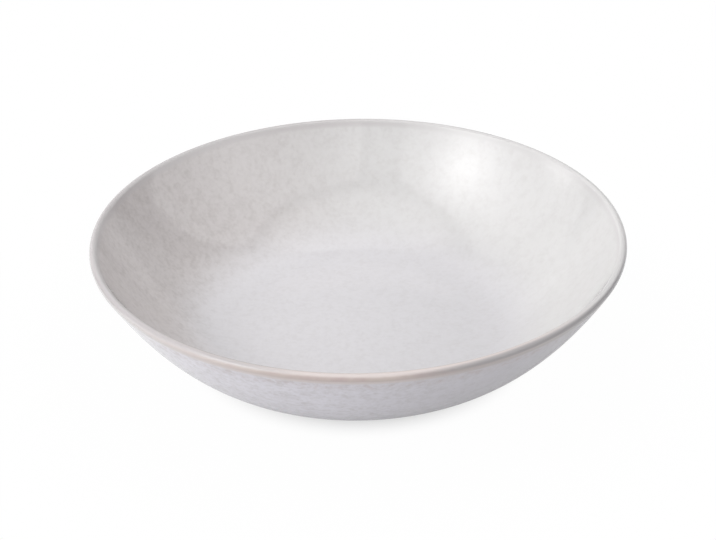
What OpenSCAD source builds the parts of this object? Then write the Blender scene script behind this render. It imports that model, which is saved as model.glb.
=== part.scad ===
// Rimless soup plate in glazed stoneware: a clay body on a foot ring, under four fields of glaze.
// The origin is on the table, under the middle of the plate, and +Z points up.
// Every piece is a ring or a disc turned about Z, and neighbours share the points of one outline.

/* [Plate] */
// Diameter over the glazed lip
plate_d = 220; // [190:1:270]
// Height from the table to the top of the lip
plate_h = 52; // [43:1:64]

/* [Wall] */
// Thickness of the wall at the lip, with both glazes
lip_t = 3.5; // [2.8:0.1:5]
// Thickness of the wall above the foot ring, with both glazes
heel_t = 5.6; // [4.5:0.1:7]
// Slope of the wall at the lip, in degrees from level
lip_slope = 60; // [56:1:70]
// Slope of the wall where it meets the foot ring, in degrees from level
heel_slope = 7; // [4:1:16]
// How far the wall runs straight on below the lip, as a share of the way to the bend
lip_pull_share = 0.55; // [0.4:0.05:0.85]
// How far the wall runs straight on outside the foot ring, as a share of the way to the bend
heel_pull_share = 0.75; // [0.4:0.05:0.85]

/* [Base] */
// Thickness of the base in the middle, with both glazes
base_t = 4.6; // [3.8:0.1:5.6]
// Width of the gentle curve between the flat floor of the well and the wall
heel_run = 10; // [5:0.5:20]

/* [Foot ring] */
// Diameter over the foot ring, where the outer glaze ends
foot_d = 114; // [95:1:138]
// Height of the foot ring outside
foot_h = 2.5; // [2:0.1:4]
// Width of the foot ring at its root
foot_w = 6.2; // [5:0.1:9]
// Rounding of both edges that the foot ring stands on
foot_round_r = 1.1; // [0.6:0.1:1.5]
// Fillet in the corner between the foot ring and the underside of the base
recess_fillet_r = 1.5; // [0.8:0.1:2]

/* [Glaze] */
// Thickness of each coat of glaze
glaze_t = 0.4; // [0.3:0.05:0.6]

/* [Hidden] */
$fn = 180;
wall_steps = 28;
lip_steps = 12;
corner_steps = 6;

// The lip is a half round, as wide as the wall is there
lip_r = lip_t / 2;
lip_centre = [plate_d / 2 - lip_r, plate_h - lip_r];
lip_from = lip_slope - 90;
lip_to = lip_slope + 90;

// Unit vectors along a slope, and across it from the outside of the plate to the inside
function along(slope) = [cos(slope), sin(slope)];
function across(slope) = [-sin(slope), cos(slope)];

function arc(centre, r, from, to, steps) =
    [for (i = [0:steps]) centre + r * along(from + (to - from) * i / steps)];

// The outside of the wall is one curve from the lip to the foot ring, level with both of its end slopes
wall_top = lip_centre + lip_r * along(lip_from);
wall_foot = [foot_d / 2, foot_h];
wall_drop = wall_top - wall_foot;
top_reach = cross(wall_drop, along(heel_slope)) / cross(along(lip_slope), along(heel_slope));
foot_reach = cross(wall_drop, along(lip_slope)) / cross(along(heel_slope), along(lip_slope));
top_pull = wall_top - lip_pull_share * top_reach * along(lip_slope);
foot_pull = wall_foot + heel_pull_share * foot_reach * along(heel_slope);

// A point of that curve at t, from 0 at the lip to 1 at the foot ring, and its slope there
function wall_point(t) =
    pow(1 - t, 3) * wall_top + 3 * pow(1 - t, 2) * t * top_pull
    + 3 * (1 - t) * pow(t, 2) * foot_pull + pow(t, 3) * wall_foot;
function wall_run(t) =
    pow(1 - t, 2) * (top_pull - wall_top) + 2 * (1 - t) * t * (foot_pull - top_pull)
    + pow(t, 2) * (wall_foot - foot_pull);
function wall_slope(t) = atan2(-wall_run(t)[1], -wall_run(t)[0]);

// The wall grows evenly thicker from the lip to the heel, and keeps its slope at both ends
function wall_t(t) = lip_t + (heel_t - lip_t) * (3 * pow(t, 2) - 2 * pow(t, 3));

// The well: the wall's inside, a gentle curve and a flat floor
well_heel = wall_foot + heel_t * across(heel_slope);
well_curve_r = heel_run / sin(heel_slope);
well_curve_centre = well_heel + well_curve_r * across(heel_slope);
floor_z = well_curve_centre[1] - well_curve_r;

// The recess under the base. Its fillet leaves some of the foot ring's inside straight
recess_z = floor_z - base_t;
recess_r = foot_d / 2 - foot_w;
fillet_most_share = 0.9;
corner_r = min(recess_fillet_r, fillet_most_share * (recess_z - foot_round_r));
recess_corner = [recess_r - corner_r, recess_z - corner_r];
foot_out_r = (wall_foot + glaze_t * across(heel_slope))[0];
foot_in_r = recess_r + glaze_t;

// Outlines at a depth under the finished surface: 0 is the glaze's face and glaze_t is the clay's.
// Outside, from the lip down
function outer_line(depth) =
    [for (i = [0:wall_steps]) let (t = i / wall_steps) wall_point(t) + depth * across(wall_slope(t))];
// Over the lip, from the outside in
function lip_line(depth) = arc(lip_centre, lip_r - depth, lip_from, lip_to, lip_steps);
// Inside, from the lip down and in to the middle of the floor
function inner_line(depth) = concat(
    [for (i = [0:wall_steps - 1]) let (t = i / wall_steps)
        wall_point(t) + (wall_t(t) - depth) * across(wall_slope(t))],
    arc(well_curve_centre, well_curve_r + depth, heel_slope - 90, -90, corner_steps),
    [[0, floor_z - depth]]);
// Underside, from the middle out and down the corner of the foot ring
function recess_line(depth) = concat(
    [[0, recess_z + depth]],
    arc(recess_corner, corner_r + depth, 90, 0, corner_steps));
// The bare clay of the foot ring, from its inside to its outside
function foot_line() = concat(
    arc([foot_in_r + foot_round_r, foot_round_r], foot_round_r, 180, 270, corner_steps),
    arc([foot_out_r - foot_round_r, foot_round_r], foot_round_r, -90, 0, corner_steps));

function reversed(line) = [for (i = [len(line) - 1:-1:0]) line[i]];
// All of a line but its first point, where the line before it ends there
function rest(line) = [for (i = [1:len(line) - 1]) line[i]];

// A coat of glaze lies between the finished face and the clay
module coat(face, clay) {
    rotate_extrude() polygon(concat(face, reversed(clay)));
}

// Clay: underside, foot ring, wall, lip and well in one closed outline
module stoneware_body() {
    color([0.79, 0.71, 0.63])
        rotate_extrude()
            polygon(concat(
                recess_line(glaze_t),
                foot_line(),
                reversed(outer_line(glaze_t)),
                rest(lip_line(glaze_t)),
                rest(inner_line(glaze_t))));
}

module inner_glaze() {
    color([0.87, 0.86, 0.85]) coat(inner_line(0), inner_line(glaze_t));
}

module rim_glaze() {
    color([0.72, 0.64, 0.61]) coat(lip_line(0), lip_line(glaze_t));
}

module outer_glaze() {
    color([0.84, 0.83, 0.84]) coat(outer_line(0), outer_line(glaze_t));
}

module foot_recess_glaze() {
    color([0.86, 0.85, 0.83]) coat(recess_line(0), recess_line(glaze_t));
}

stoneware_body();
inner_glaze();
rim_glaze();
outer_glaze();
foot_recess_glaze();
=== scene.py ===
"""Soup plate: a rimless stoneware plate under a speckled off-white glaze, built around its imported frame."""

import math
from collections import namedtuple

import bmesh
import bpy
from bpy.props import FloatProperty, FloatVectorProperty, IntProperty, PointerProperty
from mathutils import Matrix, Vector


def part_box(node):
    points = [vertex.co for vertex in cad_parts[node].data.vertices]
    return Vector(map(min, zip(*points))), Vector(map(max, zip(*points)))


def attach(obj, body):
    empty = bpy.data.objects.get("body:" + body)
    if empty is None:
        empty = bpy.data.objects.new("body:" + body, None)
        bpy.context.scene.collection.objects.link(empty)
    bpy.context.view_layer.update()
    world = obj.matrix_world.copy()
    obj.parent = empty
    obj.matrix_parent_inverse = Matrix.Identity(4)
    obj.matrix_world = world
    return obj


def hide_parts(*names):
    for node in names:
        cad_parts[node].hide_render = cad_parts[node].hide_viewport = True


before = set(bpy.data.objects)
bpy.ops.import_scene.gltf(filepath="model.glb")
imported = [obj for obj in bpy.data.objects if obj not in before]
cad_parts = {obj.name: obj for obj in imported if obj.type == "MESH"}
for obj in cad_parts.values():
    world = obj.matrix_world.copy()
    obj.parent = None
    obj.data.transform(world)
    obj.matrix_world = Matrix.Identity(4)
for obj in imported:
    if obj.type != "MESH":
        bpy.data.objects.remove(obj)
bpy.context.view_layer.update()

bl_info = {
    "name": "Soup plate",
    "version": (1, 0, 0),
    "blender": (4, 5, 0),
    "location": "View3D > Sidebar > Soup plate",
    "description": "Turns a glazed stoneware soup plate and sets it on a pale studio floor",
    "category": "Add Mesh",
}

BODY = "root"

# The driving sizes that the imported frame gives: each is read off the node that shows it
RIM_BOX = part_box("rim_glaze")
OUTER_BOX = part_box("outer_glaze")
INNER_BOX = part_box("inner_glaze")
CLAY_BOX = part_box("stoneware_body")
RECESS_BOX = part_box("foot_recess_glaze")
# The rim's least reach of the four, so that the round plate keeps inside its box
PLATE_D = -2 * RIM_BOX[0].x
PLATE_H = RIM_BOX[1].z
FOOT_H = OUTER_BOX[0].z
GLAZE_T = PLATE_H - CLAY_BOX[1].z
FLOOR_H = INNER_BOX[0].z + GLAZE_T
RECESS_H = RECESS_BOX[1].z - GLAZE_T
RECESS_CORNER_R = RECESS_H - RECESS_BOX[0].z
RECESS_D = 2 * (RECESS_BOX[1].x - GLAZE_T)


class PlateSizes(bpy.types.PropertyGroup):
    """Sizes of the plate's section. What the frame shows comes from the frame."""

    plate_d: FloatProperty(
        name="Diameter",
        description="Diameter over the glazed lip",
        default=PLATE_D,
        unit="LENGTH",
    )
    plate_h: FloatProperty(
        name="Height",
        description="Height from the table to the lip",
        default=PLATE_H,
        unit="LENGTH",
    )
    lip_t: FloatProperty(
        name="Lip",
        description="Thickness of the wall at the lip",
        default=0.0035,
        unit="LENGTH",
    )
    heel_t: FloatProperty(
        name="Heel",
        description="Thickness of the wall over the foot ring",
        default=0.0056,
        unit="LENGTH",
    )
    lip_slope: FloatProperty(
        name="Lip slope",
        description="Slope of the wall at the lip",
        default=math.radians(60),
        unit="ROTATION",
    )
    heel_slope: FloatProperty(
        name="Heel slope",
        description="Slope of the wall at the foot",
        default=math.radians(7),
        unit="ROTATION",
    )
    lip_pull: FloatProperty(
        name="Lip pull",
        description="How far the wall runs straight on below the lip",
        default=0.55,
        subtype="FACTOR",
    )
    heel_pull: FloatProperty(
        name="Heel pull",
        description="How far it runs straight on outside the foot",
        default=0.75,
        subtype="FACTOR",
    )
    foot_d: FloatProperty(
        name="Foot",
        description="Diameter over the foot ring",
        default=0.114,
        unit="LENGTH",
    )
    foot_h: FloatProperty(
        name="Foot height",
        description="Height of the foot ring outside",
        default=FOOT_H,
        unit="LENGTH",
    )
    foot_round_r: FloatProperty(
        name="Foot rounding",
        description="Rounding of the edges it stands on",
        default=0.0011,
        unit="LENGTH",
    )
    glaze_t: FloatProperty(
        name="Glaze",
        description="Thickness of each coat",
        default=GLAZE_T,
        unit="LENGTH",
    )
    sector_steps: IntProperty(
        name="Sector steps",
        description="Faces in each of the sectors that the plate is turned in",
        default=16,
        min=2,
    )


class PlateColours(bpy.types.PropertyGroup):
    """Colours of the glazes, the clay and the floor."""

    well_floor: FloatVectorProperty(
        name="Well floor",
        description="Glaze on the floor of the well",
        default=(0.728, 0.714, 0.737),
        size=3,
        subtype="COLOR",
    )
    # Painted shade: the right of the well's floor greyer
    well_floor_shaded: FloatVectorProperty(
        name="Well floor on the right",
        description="Slightly greyer glaze there",
        default=(0.669, 0.658, 0.679),
        size=3,
        subtype="COLOR",
    )
    well_wall: FloatVectorProperty(
        name="Well wall",
        description="Warmer glaze inside the wall",
        default=(0.692, 0.685, 0.682),
        size=3,
        subtype="COLOR",
    )
    # Pinker on the left of the wall, and darker there by painted shade, where the wall faces away from the
    # light
    blush_and_shade: FloatVectorProperty(
        name="Blush",
        description="Pinker glaze on the left of the wall",
        default=(0.62, 0.585, 0.582),
        size=3,
        subtype="COLOR",
    )
    outside: FloatVectorProperty(
        name="Outside",
        description="Cooler glaze outside the wall",
        default=(0.82, 0.80, 0.866),
        size=3,
        subtype="COLOR",
    )
    cream: FloatVectorProperty(
        name="Cream",
        description="Thin glaze over the lip at the front",
        default=(0.69, 0.61, 0.59),
        size=3,
        subtype="COLOR",
    )
    lip: FloatVectorProperty(
        name="Lip",
        description="Thin glaze over the lip elsewhere",
        default=(0.65, 0.637, 0.637),
        size=3,
        subtype="COLOR",
    )
    # Painted shade: the lip darker on the left and at the back
    lip_painted_shade: FloatVectorProperty(
        name="Dark lip",
        description="Darker glaze over the lip, on the left and at the back",
        default=(0.52, 0.487, 0.492),
        size=3,
        subtype="COLOR",
    )
    # Painted shade: the grey that stands in for shade on the right, over the lip and outside the wall
    grey: FloatVectorProperty(
        name="Grey",
        description="What the glaze darkens to on the right, over the lip and outside the wall",
        default=(0.35, 0.335, 0.345),
        size=3,
        subtype="COLOR",
    )
    tan: FloatVectorProperty(
        name="Tan",
        description="Paler patches of the brown",
        default=(0.565, 0.485, 0.45),
        size=3,
        subtype="COLOR",
    )
    rim: FloatVectorProperty(
        name="Brown",
        description="What the thin glaze breaks to below the crest of the lip",
        default=(0.52, 0.42, 0.41),
        size=3,
        subtype="COLOR",
    )
    speck: FloatVectorProperty(
        name="Speck",
        description="Beige-grey specks in the glaze",
        default=(0.40, 0.365, 0.355),
        size=3,
        subtype="COLOR",
    )
    clay: FloatVectorProperty(
        name="Clay",
        description="Bare fired clay",
        default=(0.60, 0.48, 0.37),
        size=3,
        subtype="COLOR",
    )
    clay_toasted: FloatVectorProperty(
        name="Toasted clay",
        description="Darker grain in the clay",
        default=(0.48, 0.35, 0.25),
        size=3,
        subtype="COLOR",
    )
    floor: FloatVectorProperty(
        name="Floor",
        description="Studio floor",
        default=(0.65, 0.65, 0.65),
        size=3,
        subtype="COLOR",
    )


def along(slope):
    """The unit vector up a slope and away from the axis."""
    return Vector((math.cos(slope), math.sin(slope)))


def across(slope):
    """The unit vector from the outside of the plate to the inside, square to a slope."""
    return Vector((-math.sin(slope), math.cos(slope)))


def eased(steps):
    """Shares from 0 to 1 that lie closer at both ends, where two coats meet."""
    return [(1 - math.cos(math.pi * i / steps)) / 2 for i in range(steps + 1)]


def arc(centre, radius, start, end, steps):
    return [centre + radius * along(start + (end - start) * share) for share in eased(steps)]


class Section:
    """The plate's outlines, as distance from the axis and height, at a depth under the glaze's face."""

    WALL_STEPS = 72
    LIP_STEPS = 40
    CORNER_STEPS = 10

    def __init__(self, sizes):
        self.sizes = sizes
        quarter = math.pi / 2
        self.lip_r = sizes.lip_t / 2
        self.lip_centre = Vector((sizes.plate_d / 2 - self.lip_r, sizes.plate_h - self.lip_r))
        self.lip_ends = (sizes.lip_slope - quarter, sizes.lip_slope + quarter)
        top = self.lip_centre + self.lip_r * along(self.lip_ends[0])
        foot = Vector((sizes.foot_d / 2, sizes.foot_h))
        lip_way, heel_way = along(sizes.lip_slope), along(sizes.heel_slope)
        drop = top - foot
        top_reach = drop.cross(heel_way) / lip_way.cross(heel_way)
        foot_reach = drop.cross(lip_way) / heel_way.cross(lip_way)
        self.pulls = (
            top,
            top - sizes.lip_pull * top_reach * lip_way,
            foot + sizes.heel_pull * foot_reach * heel_way,
            foot,
        )
        inside = across(sizes.heel_slope)
        self.heel = foot + sizes.heel_t * inside
        self.heel_r = (self.heel.y - FLOOR_H) / (1 - math.cos(sizes.heel_slope))
        self.heel_centre = self.heel + self.heel_r * inside
        self.recess_corner = Vector((RECESS_D / 2 - RECESS_CORNER_R, RECESS_H - RECESS_CORNER_R))
        self.foot_out_r = (foot + sizes.glaze_t * inside).x
        self.foot_in_r = RECESS_D / 2 + sizes.glaze_t

    def wall(self, share):
        """A point of the wall's outside and the way in from it, from the lip at 0 to the foot ring at 1."""
        a, b, c, d = self.pulls
        back = 1 - share
        point = back**3 * a + 3 * back**2 * share * b + 3 * back * share**2 * c + share**3 * d
        run = back**2 * (b - a) + 2 * back * share * (c - b) + share**2 * (d - c)
        return point, Vector((run.y, -run.x)).normalized()

    def wall_t(self, share):
        return self.sizes.lip_t + (self.sizes.heel_t - self.sizes.lip_t) * (3 * share**2 - 2 * share**3)

    def outside(self, depth):
        """Down the outside, from the lip to the foot ring."""
        walls = [self.wall(share) for share in eased(self.WALL_STEPS)]
        return [point + depth * inwards for point, inwards in walls]

    def lip(self, depth):
        """Over the lip, from the outside in."""
        return arc(self.lip_centre, self.lip_r - depth, *self.lip_ends, self.LIP_STEPS)

    def inside(self, depth):
        """Down the inside, from the lip to the middle of the floor."""
        outline = []
        for share in eased(self.WALL_STEPS):
            point, inwards = self.wall(share)
            outline.append(point + (self.wall_t(share) - depth) * inwards)
        down = -math.pi / 2
        ends = (self.sizes.heel_slope + down, down)
        heel = arc(self.heel_centre, self.heel_r + depth, *ends, self.CORNER_STEPS)
        return outline[:-1] + heel + [Vector((0, FLOOR_H - depth))]

    def recess(self, depth):
        """Under the base, from the middle out and down the inside of the foot ring."""
        corner = arc(self.recess_corner, RECESS_CORNER_R + depth, math.pi / 2, 0, self.CORNER_STEPS)
        return [Vector((0, RECESS_H + depth))] + corner

    def foot(self):
        """The bare foot ring, from its inside to its outside."""
        r = self.sizes.foot_round_r
        inner, outer = Vector((self.foot_in_r + r, r)), Vector((self.foot_out_r - r, r))
        quarter = math.pi / 2
        inner_arc = arc(inner, r, 2 * quarter, 3 * quarter, self.CORNER_STEPS)
        return inner_arc + arc(outer, r, -quarter, 0, self.CORNER_STEPS)


SHARP_ANGLE = math.radians(35)
SAME_POINT = 1e-6
SECTORS = 18


def turned(name, outline, sector_steps, closed):
    """An outline spun round the plate's axis to a closed mesh, smooth but for its edges."""
    bm = bmesh.new()
    points = [bm.verts.new((p.x, 0, p.y)) for p in outline]
    pairs = list(zip(points, points[1:] + points[:1] if closed else points[1:]))
    lines = [bm.edges.new(pair) for pair in pairs if pair[0].co.x or pair[1].co.x]
    round_axis = {"cent": (0, 0, 0), "axis": (0, 0, 1)}
    sector = 2 * math.pi / SECTORS
    bmesh.ops.spin(bm, geom=points + lines, angle=sector, steps=sector_steps, **round_axis)
    whole = bm.verts[:] + bm.edges[:] + bm.faces[:]
    copies = SECTORS - 1
    bmesh.ops.spin(bm, geom=whole, angle=sector * copies, steps=copies, use_duplicate=True, **round_axis)
    bmesh.ops.remove_doubles(bm, verts=bm.verts, dist=SAME_POINT)
    bmesh.ops.recalc_face_normals(bm, faces=bm.faces)
    for face in bm.faces:
        face.smooth = True
    for edge in bm.edges:
        edge.smooth = edge.calc_face_angle(0) < SHARP_ANGLE
    mesh = bpy.data.meshes.new(name)
    bm.to_mesh(mesh)
    bm.free()
    piece = bpy.data.objects.new(name, mesh)
    bpy.context.scene.collection.objects.link(piece)
    return piece


def settle(piece, node, material):
    """Gives a piece its finish and sets it in place of its CAD node."""
    piece.data.materials.append(material)
    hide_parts(node)
    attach(piece, BODY)


class Number:
    """A number socket of a material, so that shader maths reads as an expression."""

    def __init__(self, paint, socket):
        self.paint = paint
        self.socket = socket

    def maths(self, operation, *values):
        return self.paint.maths(operation, *values)

    def __add__(self, other):
        return self.maths("ADD", self, other)

    def __radd__(self, other):
        return self.maths("ADD", other, self)

    def __sub__(self, other):
        return self.maths("SUBTRACT", self, other)

    def __rsub__(self, other):
        return self.maths("SUBTRACT", other, self)

    def __mul__(self, other):
        return self.maths("MULTIPLY", self, other)

    def __rmul__(self, other):
        return self.maths("MULTIPLY", other, self)

    def __truediv__(self, other):
        return self.maths("DIVIDE", self, other)

    def __rtruediv__(self, other):
        return self.maths("DIVIDE", other, self)

    def __pow__(self, other):
        return self.maths("POWER", self, other)


class Paint:
    """The node tree of a material or a world, on one kind of coordinates. Object coordinates are metres."""

    def __init__(self, owner, coordinates):
        self.owner = owner
        owner.use_nodes = True
        self.tree = owner.node_tree
        self.tree.nodes.clear()
        self.place = self.node("ShaderNodeTexCoord", output=coordinates)

    def node(self, kind, settings=None, sockets=None, output=0):
        """One node: its settings first, then a value or a link for each named or numbered socket."""
        node = self.tree.nodes.new(kind)
        for key, value in (settings or {}).items():
            setattr(node, key, value)
        for key, value in (sockets or {}).items():
            if isinstance(value, Number):
                self.tree.links.new(value.socket, node.inputs[key])
            else:
                node.inputs[key].default_value = value
        return None if output is None else Number(self, node.outputs[output])

    def axes(self, vector):
        """The three numbers of a vector."""
        split = self.tree.nodes.new("ShaderNodeSeparateXYZ")
        self.tree.links.new(vector.socket, split.inputs[0])
        return [Number(self, socket) for socket in split.outputs]

    def maths(self, operation, *values):
        return self.node("ShaderNodeMath", {"operation": operation}, dict(enumerate(values)))

    def ramp(self, value, low, high):
        """0 below low and 1 above high, or the other way round, with a smooth rise between."""
        settings = {"interpolation_type": "SMOOTHSTEP"}
        if low > high:
            return 1 - self.node("ShaderNodeMapRange", settings, {0: value, 1: high, 2: low})
        return self.node("ShaderNodeMapRange", settings, {0: value, 1: low, 2: high})

    def mix(self, share, a, b):
        """Colour a where share is 0 and b where it is 1."""
        mixed = {0: share, 6: a, 7: b}
        return self.node("ShaderNodeMix", {"data_type": "RGBA", "clamp_factor": True}, mixed, output=2)

    def noise(self, size, detail=2.0, roughness=0.5):
        """Noise from 0 to 1 whose grains are about that size."""
        sockets = {
            "Vector": self.place,
            "Scale": 1 / size,
            "Detail": detail,
            "Roughness": roughness,
        }
        return self.node("ShaderNodeTexNoise", {"noise_dimensions": "3D"}, sockets)

    def seen_rays(self, *kinds):
        """1 for a ray of any of these kinds, and 0 for the others."""
        share = self.node("ShaderNodeLightPath", output=kinds[0])
        for kind in kinds[1:]:
            share = self.maths("MAXIMUM", share, self.node("ShaderNodeLightPath", output=kind))
        return share

    def bump(self, height, depth):
        return self.node("ShaderNodeBump", {}, {"Strength": 1.0, "Distance": depth, "Height": height})

    def principled(self, **sockets):
        named = {key.replace("_", " "): value for key, value in sockets.items()}
        return self.node("ShaderNodeBsdfPrincipled", {}, named)

    def end(self, kind, shader):
        """Ends the tree in an output node and gives back its material or world."""
        self.node(kind, {}, {"Surface": shader}, output=None)
        return self.owner


def material_paint(name):
    return Paint(bpy.data.materials.new(name), "Object")


def finished(paint, **sockets):
    """A material that ends in one principled shader."""
    return paint.end("ShaderNodeOutputMaterial", paint.principled(**sockets))


MM = 0.001
DEGREES = 180 / math.pi

# Ways out from the axis, towards which the glaze changes or painted shade grows. The kiln browned the front
# of the lip
FLASH_WAY = Vector((0, -1))
BLUSH_WAY = Vector((-0.99, 0.14))
LEFT_WAY = Vector((-0.9, -0.44))
BACK_WAY = Vector((-0.64, 0.77))
# Painted shade grows towards this way, the right front
SHADE_WAY = Vector((0.766, -0.643))

# A fade is a pair: where a change starts to show and where it shows in full. These go by the cosine between a
# point's way out from the axis and the way that is named
WELL_BLUSH_FADE = (-0.1, 1.0)
MOTTLED_BLUSH_FADE = (-0.9, 0.6)
LEFTWARDS_FADE = (-0.6, 0.9)
BROWN_SIDES_FADE = (0.4, 0.8)
BROWN_FRONT_FADE = (0.84, 0.985)
CREAM_FRONT_FADE = (0.5, 0.93)
PATCHES_FRONT_FADE = (0.2, 0.9)
LIP_BACK_FADE = (0.4, 0.9)
LINE_RIGHT_FADE = (0.7, 0.92)
SHADE_RIGHT_FADE = (0.5, 1.0)
LOW_SHADE_RIGHT_FADE = (-0.2, 0.6)

# These go by a distance: from the axis, from the middle of the well to the right, up from the table, or from
# the middle of the lip's round
WALL_FADE = (59 * MM, 84 * MM)
FLOOR_SHADE_FADE = (-40 * MM, 50 * MM)
LOW_FADE = (16 * MM, 3 * MM)
LIP_FADE = (3.2 * MM, 1.8 * MM)
BROWN_FADE = (3.2 * MM, 2.0 * MM)
LINE_FADE = (3.2 * MM, 1.9 * MM)
PATCHES_UPPER_FADE = (2.0 * MM, 3.4 * MM)
PATCHES_LOWER_FADE = (9 * MM, 4 * MM)

# These go by the angle round the lip, in degrees: 0 faces out from the plate and 90 faces up
BROWN_UPPER_FADE = (52, 16)
BROWN_LOWER_FADE = (-52, -6)
LINE_UPPER_FADE = (102, 46)
LINE_LOWER_FADE = (-22, 14)
CREST_FADE = (5, 45)
CREST_INNER_FADE = (60, 95)

# These go by a noise, or by how far left a point lies
SPECK_FADE = (0.32, 0.72)
SPECK_GROUP_FADE = (0.35, 0.65)
CLOUD_FADE = (0.42, 0.68)
PATCH_FADE = (0.5, 0.66)
TAN_FADE = (0.35, 0.65)
LIP_LEFT_FADE = (0.88, 0.99)

# Sizes of the glaze's grains and of its swell
WANDER_SIZE = 8 * MM
CLOUD_SIZE = 4.2 * MM
SPECK_SIZE = 1.7 * MM
PATCH_SIZE = 2.8 * MM
SWELL_SIZE = 12 * MM
SWELL_HEIGHT = 0.008 * MM

# Shares of a colour that the glaze turns to, or of painted shade, from 0 to 1
SPECK_SHARE = 0.11
WALL_SPECK_CHANGE = -0.04
BLUSH_SPECK_SHARE = 0.06
LEFT_SPECK_SHARE = 0.19
CLOUD_SHARE = 0.04
WALL_CLOUD_SHARE = 0.03
LEFT_CLOUD_SHARE = 0.12
BROWN_LEAST, BROWN_SIDES, BROWN_FRONT = 0.06, 0.14, 0.8
# LINE_SHARE and the SHADE shares are painted shade, over the lip and outside on the right
LINE_SHARE = 0.9
SHADE_SHARE, LOW_SHADE_SHARE = 0.33, 0.03
PATCHED_SHARE = 0.45
THIN_SHARE = 0.9
# Painted shade over the back of the lip
LIP_BACK_SHARE = 0.6
CREST_INNER_LOSS = 0.35

# What is left of a change where its own fade is at 0
LINE_LOWER_LEAST = 0.42
PATCH_LEAST = 0.3
PATCHES_BACK_LEAST = 0.3
SPECK_GROUP_LEAST = 0.5

BROWN_WANDER = 30  # degrees round the lip by which the brown band wanders
# The grey line over the lip is painted shade
LINE_MIDDLE = 0.57  # the cosine from +X where the grey line reaches highest over the lip
LINE_DROP = 60  # degrees by which it keeps lower for each unit of cosine away from there
GLAZE_ROUGHNESS = 0.05
SPECK_ROUGHNESS = 0.05
GLAZE_IOR = 1.58


def at_least(least, share):
    """A share from 0 to 1, squeezed to run from least to 1."""
    return least + (1 - least) * share


class GlazeMap:
    """Where a point lies on the plate, as shader numbers that all coats share, so that no seam shows."""

    def __init__(self, paint, section):
        self.paint = paint
        self.x, self.y, self.z = paint.axes(paint.place)
        self.radius = (self.x * self.x + self.y * self.y) ** 0.5
        from_centre = self.radius - section.lip_centre.x
        above_centre = self.z - section.lip_centre.y
        slope = section.sizes.lip_slope
        up_wall = from_centre * math.cos(slope) + above_centre * math.sin(slope)
        over_wall = above_centre * math.cos(slope) - from_centre * math.sin(slope)
        self.lip_angle = (paint.maths("ARCTAN2", over_wall, up_wall) + slope) * DEGREES
        self.from_lip = (from_centre * from_centre + above_centre * above_centre) ** 0.5

    def facing(self, way, fade):
        """0 on the side of the plate away from this way and 1 on the side towards it, by their cosine."""
        return self.paint.ramp((self.x * way.x + self.y * way.y) / self.radius, *fade)

    def walled(self):
        """0 on the floor of the well and 1 on the wall."""
        return self.paint.ramp(self.radius, *WALL_FADE)

    def browned(self, wander):
        """How brown the glaze breaks: a band below the crest of the lip, strongest at the front."""
        angle = self.lip_angle + BROWN_WANDER * (wander - 0.5)
        band = self.paint.ramp(angle, *BROWN_UPPER_FADE) * self.paint.ramp(angle, *BROWN_LOWER_FADE)
        close = self.paint.ramp(self.from_lip, *BROWN_FADE)
        sides = BROWN_SIDES * self.facing(FLASH_WAY, BROWN_SIDES_FADE)
        front = BROWN_FRONT * self.facing(FLASH_WAY, BROWN_FRONT_FADE)
        return band * close * (BROWN_LEAST + sides + front)

    def painted_shade_line(self):
        """How much painted shade greys the glaze on the right: a line over the outside of the lip."""
        lower = LINE_DROP * self.paint.maths("ABSOLUTE", self.x / self.radius - LINE_MIDDLE)
        outer = at_least(LINE_LOWER_LEAST, self.paint.ramp(self.lip_angle, *LINE_LOWER_FADE))
        line = self.paint.ramp(self.lip_angle + lower, *LINE_UPPER_FADE) * outer
        close = self.paint.ramp(self.from_lip, *LINE_FADE)
        return LINE_SHARE * close * line * self.facing(SHADE_WAY, LINE_RIGHT_FADE)

    def shaded(self):
        """How much painted shade darkens the outer glaze: more towards the right and down to the foot."""
        low = self.paint.ramp(self.z, *LOW_FADE) * self.facing(SHADE_WAY, LOW_SHADE_RIGHT_FADE)
        return SHADE_SHARE * self.facing(SHADE_WAY, SHADE_RIGHT_FADE) + LOW_SHADE_SHARE * low


def opaque(colour):
    return (*colour, 1)


def well_colour(paint, where, colours, wall):
    """Inside the plate: the wall pinker on the left, and painted shade there and on the right of the floor.
    """
    # The left of the wall: pinker, with painted shade
    wall = paint.mix(where.facing(BLUSH_WAY, WELL_BLUSH_FADE), wall, opaque(colours.blush_and_shade))
    # Painted shade on the right of the floor
    greyer = paint.ramp(where.x, *FLOOR_SHADE_FADE)
    floor = paint.mix(greyer, opaque(colours.well_floor), opaque(colours.well_floor_shaded))
    return paint.mix(where.walled(), floor, wall)


def outer_colour(paint, where, colours, colour):
    """Outside the plate: painted shade on the right, with brown patches just under the lip."""
    # Painted shade: grey towards the right and down to the foot
    colour = paint.mix(where.shaded(), colour, opaque(colours.grey))
    under = paint.ramp(where.from_lip, *PATCHES_UPPER_FADE) * paint.ramp(where.from_lip, *PATCHES_LOWER_FADE)
    patch = paint.ramp(paint.noise(PATCH_SIZE, detail=3), *PATCH_FADE)
    patches = under * at_least(PATCH_LEAST, patch)
    front = at_least(PATCHES_BACK_LEAST, where.facing(FLASH_WAY, PATCHES_FRONT_FADE))
    return paint.mix(PATCHED_SHARE * patches * front, colour, opaque(colours.rim))


def lip_colour(paint, where, colours, leftwards):
    """The thin glaze over the lip: cream at the front, and painted shade on the left and at the back."""
    lip = paint.mix(where.facing(FLASH_WAY, CREAM_FRONT_FADE), opaque(colours.lip), opaque(colours.cream))
    inner = 1 - CREST_INNER_LOSS * paint.ramp(where.lip_angle, *CREST_INNER_FADE)
    crested = paint.ramp(where.lip_angle, *CREST_FADE) * inner
    # Painted shade over the crest of the lip on the left, then over the back of the lip
    lip = paint.mix(crested * paint.ramp(leftwards, *LIP_LEFT_FADE), lip, opaque(colours.lip_painted_shade))
    return paint.mix(LIP_BACK_SHARE * where.facing(BACK_WAY, LIP_BACK_FADE), lip, opaque(colours.lip_painted_shade))


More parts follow.
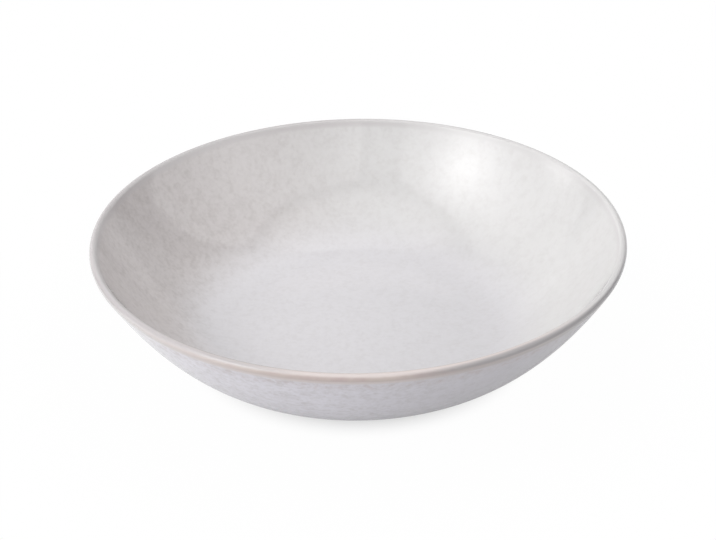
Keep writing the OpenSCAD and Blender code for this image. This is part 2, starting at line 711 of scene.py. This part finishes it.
def glaze_material(name, section, tint, in_well=False, outside=False):
    """The glaze: its colour, its specks and clouds, what it breaks to at the lip, and painted shade."""
    paint = material_paint(name)
    colours = bpy.context.scene.plate_colours
    where = GlazeMap(paint, section)
    wander = paint.noise(WANDER_SIZE)
    cloud = paint.noise(CLOUD_SIZE, detail=3, roughness=0.6)
    fine = paint.noise(SPECK_SIZE)
    leftwards = where.facing(LEFT_WAY, LEFTWARDS_FADE)
    colour = opaque(tint)
    if in_well:
        colour = well_colour(paint, where, colours, colour)

    groups = at_least(SPECK_GROUP_LEAST, paint.ramp(cloud, *SPECK_GROUP_FADE))
    specks = paint.ramp(fine, *SPECK_FADE) * groups
    blushed = BLUSH_SPECK_SHARE * where.facing(BLUSH_WAY, MOTTLED_BLUSH_FADE)
    wall_specks = blushed + LEFT_SPECK_SHARE * leftwards + WALL_SPECK_CHANGE
    speck_share = SPECK_SHARE + where.walled() * wall_specks
    colour = paint.mix(speck_share * specks, colour, opaque(colours.speck))
    cloud_share = CLOUD_SHARE + where.walled() * (WALL_CLOUD_SHARE + LEFT_CLOUD_SHARE * leftwards)
    colour = paint.mix(cloud_share * paint.ramp(cloud, *CLOUD_FADE), colour, opaque(colours.speck))

    if outside:
        colour = outer_colour(paint, where, colours, colour)
    thin = THIN_SHARE * paint.ramp(where.from_lip, *LIP_FADE)
    colour = paint.mix(thin, colour, lip_colour(paint, where, colours, leftwards))
    brown = paint.mix(paint.ramp(wander, *TAN_FADE), opaque(colours.rim), opaque(colours.tan))
    colour = paint.mix(THIN_SHARE * where.browned(wander), colour, brown)
    # Painted shade: a grey line over the outside of the lip on the right
    colour = paint.mix(where.painted_shade_line(), colour, opaque(colours.grey))
    roughness = GLAZE_ROUGHNESS + SPECK_ROUGHNESS * specks
    swell = paint.bump(paint.noise(SWELL_SIZE, detail=1), SWELL_HEIGHT)
    return finished(paint, Base_Color=colour, Roughness=roughness, IOR=GLAZE_IOR, Normal=swell)


CLAY_GRAIN_SIZE = 0.45 * MM
CLAY_GRAIN_HEIGHT = 0.06 * MM
CLAY_TONE_SIZE = 6 * MM
IRON_SIZE = 0.9 * MM
CLAY_GRAIN_FADE = (0.4, 0.7)
CLAY_TONE_FADE = (0.3, 0.7)
IRON_FADE = (0.7, 0.78)
CLAY_TONE_SHARE, CLAY_GRAIN_SHARE, IRON_SHARE = 0.5, 0.35, 0.5
CLAY_ROUGHNESS = 0.82


def clay_material(name, colours):
    """Bare fired clay: matt, with a fine grain and a few iron specks."""
    paint = material_paint(name)
    grain = paint.noise(CLAY_GRAIN_SIZE, detail=3, roughness=0.65)
    tone = CLAY_TONE_SHARE * paint.ramp(paint.noise(CLAY_TONE_SIZE), *CLAY_TONE_FADE)
    iron = IRON_SHARE * paint.ramp(paint.noise(IRON_SIZE, detail=1), *IRON_FADE)
    toasted = opaque(colours.clay_toasted)
    colour = paint.mix(tone, opaque(colours.clay), toasted)
    colour = paint.mix(CLAY_GRAIN_SHARE * paint.ramp(grain, *CLAY_GRAIN_FADE), colour, toasted)
    colour = paint.mix(iron, colour, opaque(colours.rim))
    rough = paint.bump(grain, CLAY_GRAIN_HEIGHT)
    return finished(paint, Base_Color=colour, Roughness=CLAY_ROUGHNESS, Normal=rough)


def plate_section(context):
    return Section(context.scene.plate_sizes)


def coat(context, node, outline, material):
    """A closed coat of glaze that stands for a CAD node, between the outline's face and its clay."""
    sizes = context.scene.plate_sizes
    face, clay = outline(0), outline(sizes.glaze_t)
    piece = turned(f"{node}_coat", face + clay[::-1], sizes.sector_steps, closed=True)
    settle(piece, node, material)


class PLATE_OT_clay_body(bpy.types.Operator):
    """Turns the clay body: base, foot ring, wall and lip"""

    bl_idname = "plate.clay_body"
    bl_label = "Clay body"

    def execute(self, context):
        sizes, colours = context.scene.plate_sizes, context.scene.plate_colours
        section = plate_section(context)
        depth = sizes.glaze_t
        outline = section.recess(depth) + section.foot() + section.outside(depth)[::-1]
        outline += section.lip(depth)[1:] + section.inside(depth)[1:]
        body = turned("clay_body", outline, sizes.sector_steps, closed=False)
        settle(body, "stoneware_body", clay_material("bare_clay", colours))
        return {"FINISHED"}


class PLATE_OT_inner_glaze(bpy.types.Operator):
    """Lays the glaze inside the well"""

    bl_idname = "plate.inner_glaze"
    bl_label = "Inner glaze"

    def execute(self, context):
        section, colours = plate_section(context), context.scene.plate_colours
        finish = glaze_material("inner_glaze", section, colours.well_wall, in_well=True)
        coat(context, "inner_glaze", section.inside, finish)
        return {"FINISHED"}


class PLATE_OT_rim_glaze(bpy.types.Operator):
    """Lays the thin glaze over the lip"""

    bl_idname = "plate.rim_glaze"
    bl_label = "Rim glaze"

    def execute(self, context):
        section, colours = plate_section(context), context.scene.plate_colours
        finish = glaze_material("rim_glaze", section, colours.well_wall)
        coat(context, "rim_glaze", section.lip, finish)
        return {"FINISHED"}


class PLATE_OT_outer_glaze(bpy.types.Operator):
    """Lays the glaze outside the wall, down to the foot ring"""

    bl_idname = "plate.outer_glaze"
    bl_label = "Outer glaze"

    def execute(self, context):
        section, colours = plate_section(context), context.scene.plate_colours
        finish = glaze_material("outer_glaze", section, colours.outside, outside=True)
        coat(context, "outer_glaze", section.outside, finish)
        return {"FINISHED"}


class PLATE_OT_foot_recess_glaze(bpy.types.Operator):
    """Lays the glaze under the base, inside the foot ring"""

    bl_idname = "plate.foot_recess_glaze"
    bl_label = "Foot recess glaze"

    def execute(self, context):
        section, colours = plate_section(context), context.scene.plate_colours
        finish = glaze_material("foot_recess_glaze", section, colours.outside)
        coat(context, "foot_recess_glaze", section.recess, finish)
        return {"FINISHED"}


# The studio as the glaze mirrors it, in degrees: azimuth runs from +X towards +Y, and the camera stands at
# 270. A panel leans by that many degrees of azimuth for each degree up. Its edge is the share of its half
# sizes over which it fades out, and the higher its rounding, the squarer its corners. A glow is brightest in
# its middle and fades all round over its spread
Panel = namedtuple(
    "Panel", "azimuth elevation half_width half_height strength lean edge rounding", defaults=(0, 0.02, 5)
)
Glow = namedtuple("Glow", "azimuth elevation spread strength")
OVERHEAD = Panel(0, 90, half_width=181, half_height=22, strength=1.48, edge=0.5)
RIGHT = Panel(-35, 37, half_width=57.3, half_height=21, strength=1.13, lean=0.06, edge=0.012, rounding=14)
BACK_RIGHT = Panel(62, 29, half_width=26, half_height=30, strength=0.43, lean=-0.12)
BACK_LEFT = Panel(113.5, 29, half_width=25, half_height=30, strength=0.45, lean=-0.12)
LEFT = Panel(192, 33, half_width=53, half_height=24.5, strength=0.82, edge=0.015)
LEFT_INNER = Panel(201, 33, half_width=44, half_height=24.5, strength=0.33, edge=0.015)
LEFT_LOW = Panel(196, 8, half_width=28, half_height=9, strength=2.0, edge=0.5)
PANELS = (OVERHEAD, RIGHT, BACK_RIGHT, BACK_LEFT, LEFT, LEFT_INNER, LEFT_LOW)
GLOWS = (
    Glow(azimuth=210, elevation=39, spread=10.5, strength=4.7),
    Glow(azimuth=210, elevation=39, spread=7, strength=0.8),
    Glow(azimuth=335, elevation=30, spread=14, strength=1.18),
    Glow(azimuth=182, elevation=42, spread=9, strength=1.04),
    Glow(azimuth=120, elevation=10, spread=12, strength=1.0),
    Glow(azimuth=120, elevation=40, spread=14, strength=0.63),
    Glow(azimuth=258, elevation=42, spread=9, strength=1.2),
    Glow(azimuth=62, elevation=45, spread=12, strength=0.64),
    Glow(azimuth=42, elevation=58, spread=11, strength=0.5),
)

# How much of the floor is plain white, by the distance from the axis: the rest shows the plate's shadow.
# The camera sees white outside the shadow. In the glaze the floor stays shaded out past the plate's edge, and
# that shade lies a little to the right, away from the lamp
UNDER_WHITE = 0.3
SHADOW_WHITE = 0.985
CONTACT_REACH = (0.047, 0.075)
SHADOW_REACH = (0.11, 0.18)
MIRRORED_REACH = (0.08, 0.15)
SHADOW_SHIFT = 0.028
FLOOR_R = 4.0
FLOOR_SIDES = 64
FLOOR_DROP = 0.00005
CAMERA_AIM = Vector((-0.00018, -0.0077, 0.0384))
CAMERA_DISTANCE = 0.8222
CAMERA_ELEVATION = math.radians(29.6)
CAMERA_ROLL = math.radians(-0.85)
CAMERA_LENS_MM = 100.56
CAMERA_SENSOR_MM = 36


def studio_floor(colours):
    """A round floor just under the foot ring. It looks white in the open and keeps the plate's shadow."""
    bm = bmesh.new()
    bmesh.ops.create_circle(bm, cap_ends=True, segments=FLOOR_SIDES, radius=FLOOR_R)
    bmesh.ops.translate(bm, verts=bm.verts, vec=(0, 0, -FLOOR_DROP))
    mesh = bpy.data.meshes.new("studio_floor")
    bm.to_mesh(mesh)
    bm.free()
    floor = bpy.data.objects.new("studio_floor", mesh)
    bpy.context.scene.collection.objects.link(floor)
    paint = material_paint("studio_floor")
    surface = paint.principled(Base_Color=opaque(colours.floor), Roughness=1.0, Specular_IOR_Level=0.0)
    white = paint.node("ShaderNodeEmission", {}, {"Color": (1, 1, 1, 1), "Strength": 1.0})
    x, y, _height = paint.axes(paint.place)
    radius = (x * x + y * y) ** 0.5
    near, far = paint.ramp(radius, *CONTACT_REACH), paint.ramp(radius, *SHADOW_REACH)
    looked_at = UNDER_WHITE + (SHADOW_WHITE - UNDER_WHITE) * near + (1 - SHADOW_WHITE) * far
    aside = x - SHADOW_SHIFT
    from_shade = (aside * aside + y * y) ** 0.5
    mirrored = at_least(UNDER_WHITE, paint.ramp(from_shade, *MIRRORED_REACH))
    white_share = looked_at * paint.seen_rays("Is Camera Ray")
    white_share = white_share + mirrored * paint.seen_rays("Is Glossy Ray", "Is Transmission Ray")
    shader = paint.node("ShaderNodeMixShader", {}, {0: white_share, 1: surface, 2: white})
    floor.data.materials.append(paint.end("ShaderNodeOutputMaterial", shader))


def studio_camera():
    """A camera at the photograph's viewing angle."""
    data = bpy.data.cameras.new("studio_camera")
    data.lens = CAMERA_LENS_MM
    data.sensor_width = CAMERA_SENSOR_MM
    camera = bpy.data.objects.new("studio_camera", data)
    bpy.context.scene.collection.objects.link(camera)
    back = Vector((0, -math.cos(CAMERA_ELEVATION), math.sin(CAMERA_ELEVATION)))
    turn = (-back).to_track_quat("-Z", "Y").to_matrix() @ Matrix.Rotation(CAMERA_ROLL, 3, "Z")
    camera.matrix_world = Matrix.Translation(CAMERA_AIM + CAMERA_DISTANCE * back) @ turn.to_4x4()
    bpy.context.scene.camera = camera


def studio_sky():
    """The light from all round: panels of paper round the table, and the glow of lamps behind them.

    Past the floor's edge the camera sees the node's own pale grey in its place. The glaze mirrors the panels.
    """
    sky = Paint(bpy.data.worlds.new("studio_sky"), "Generated")
    x, y, z = sky.axes(sky.place)
    elevation = sky.maths("ARCSINE", z) * DEGREES
    light = 0.0
    for panel in PANELS:
        turn = math.radians(panel.azimuth)
        ahead = x * math.cos(turn) + y * math.sin(turn)
        aside = y * math.cos(turn) - x * math.sin(turn)
        off = sky.maths("ARCTAN2", aside, ahead) * DEGREES
        up = elevation - panel.elevation
        wide = sky.maths("ABSOLUTE", off - panel.lean * up) / panel.half_width
        high = sky.maths("ABSOLUTE", up) / panel.half_height
        reach = (wide**panel.rounding + high**panel.rounding) ** (1 / panel.rounding)
        light = light + panel.strength * sky.ramp(reach, 1 + panel.edge, 1.0)
    for glow in GLOWS:
        turn, rise = math.radians(glow.azimuth), math.radians(glow.elevation)
        way = (math.cos(rise) * math.cos(turn), math.cos(rise) * math.sin(turn), math.sin(rise))
        ends = {0: sky.place, 1: way}
        near = sky.node("ShaderNodeVectorMath", {"operation": "DOT_PRODUCT"}, ends, output=1)
        width = math.radians(glow.spread)
        light = light + glow.strength * sky.maths("EXPONENT", (near - 1) / width**2)
    seen = sky.seen_rays("Is Camera Ray", "Is Transmission Ray")
    shown = sky.node("ShaderNodeBackground", {}, {"Strength": light * (1 - seen) + seen})
    bpy.context.scene.world = sky.end("ShaderNodeOutputWorld", shown)


class PLATE_OT_stage(bpy.types.Operator):
    """Sets up the floor, the lights and the camera"""

    bl_idname = "plate.stage"
    bl_label = "Studio stage"

    def execute(self, context):
        studio_floor(context.scene.plate_colours)
        studio_camera()
        studio_sky()
        context.scene.view_settings.view_transform = "Standard"
        return {"FINISHED"}


class PLATE_PT_panel(bpy.types.Panel):
    """Sizes, colours and one button for each piece"""

    bl_idname = "PLATE_PT_panel"
    bl_label = "Soup plate"
    bl_space_type = "VIEW_3D"
    bl_region_type = "UI"
    bl_category = "Soup plate"

    def draw(self, context):
        for group in (context.scene.plate_sizes, context.scene.plate_colours):
            column = self.layout.column(align=True)
            for name in group.__annotations__:
                column.prop(group, name)
        for operator in OPERATORS:
            self.layout.operator(operator.bl_idname)


OPERATORS = (
    PLATE_OT_clay_body,
    PLATE_OT_inner_glaze,
    PLATE_OT_rim_glaze,
    PLATE_OT_outer_glaze,
    PLATE_OT_foot_recess_glaze,
    PLATE_OT_stage,
)
CLASSES = (PlateSizes, PlateColours, *OPERATORS, PLATE_PT_panel)


def register():
    for entry in CLASSES:
        bpy.utils.register_class(entry)
    bpy.types.Scene.plate_sizes = PointerProperty(type=PlateSizes)
    bpy.types.Scene.plate_colours = PointerProperty(type=PlateColours)


def unregister():
    del bpy.types.Scene.plate_colours
    del bpy.types.Scene.plate_sizes
    for entry in reversed(CLASSES):
        bpy.utils.unregister_class(entry)


def main():
    register()
    bpy.ops.plate.clay_body()
    bpy.ops.plate.inner_glaze()
    bpy.ops.plate.rim_glaze()
    bpy.ops.plate.outer_glaze()
    bpy.ops.plate.foot_recess_glaze()
    bpy.ops.plate.stage()


if __name__ == "__main__":
    main()
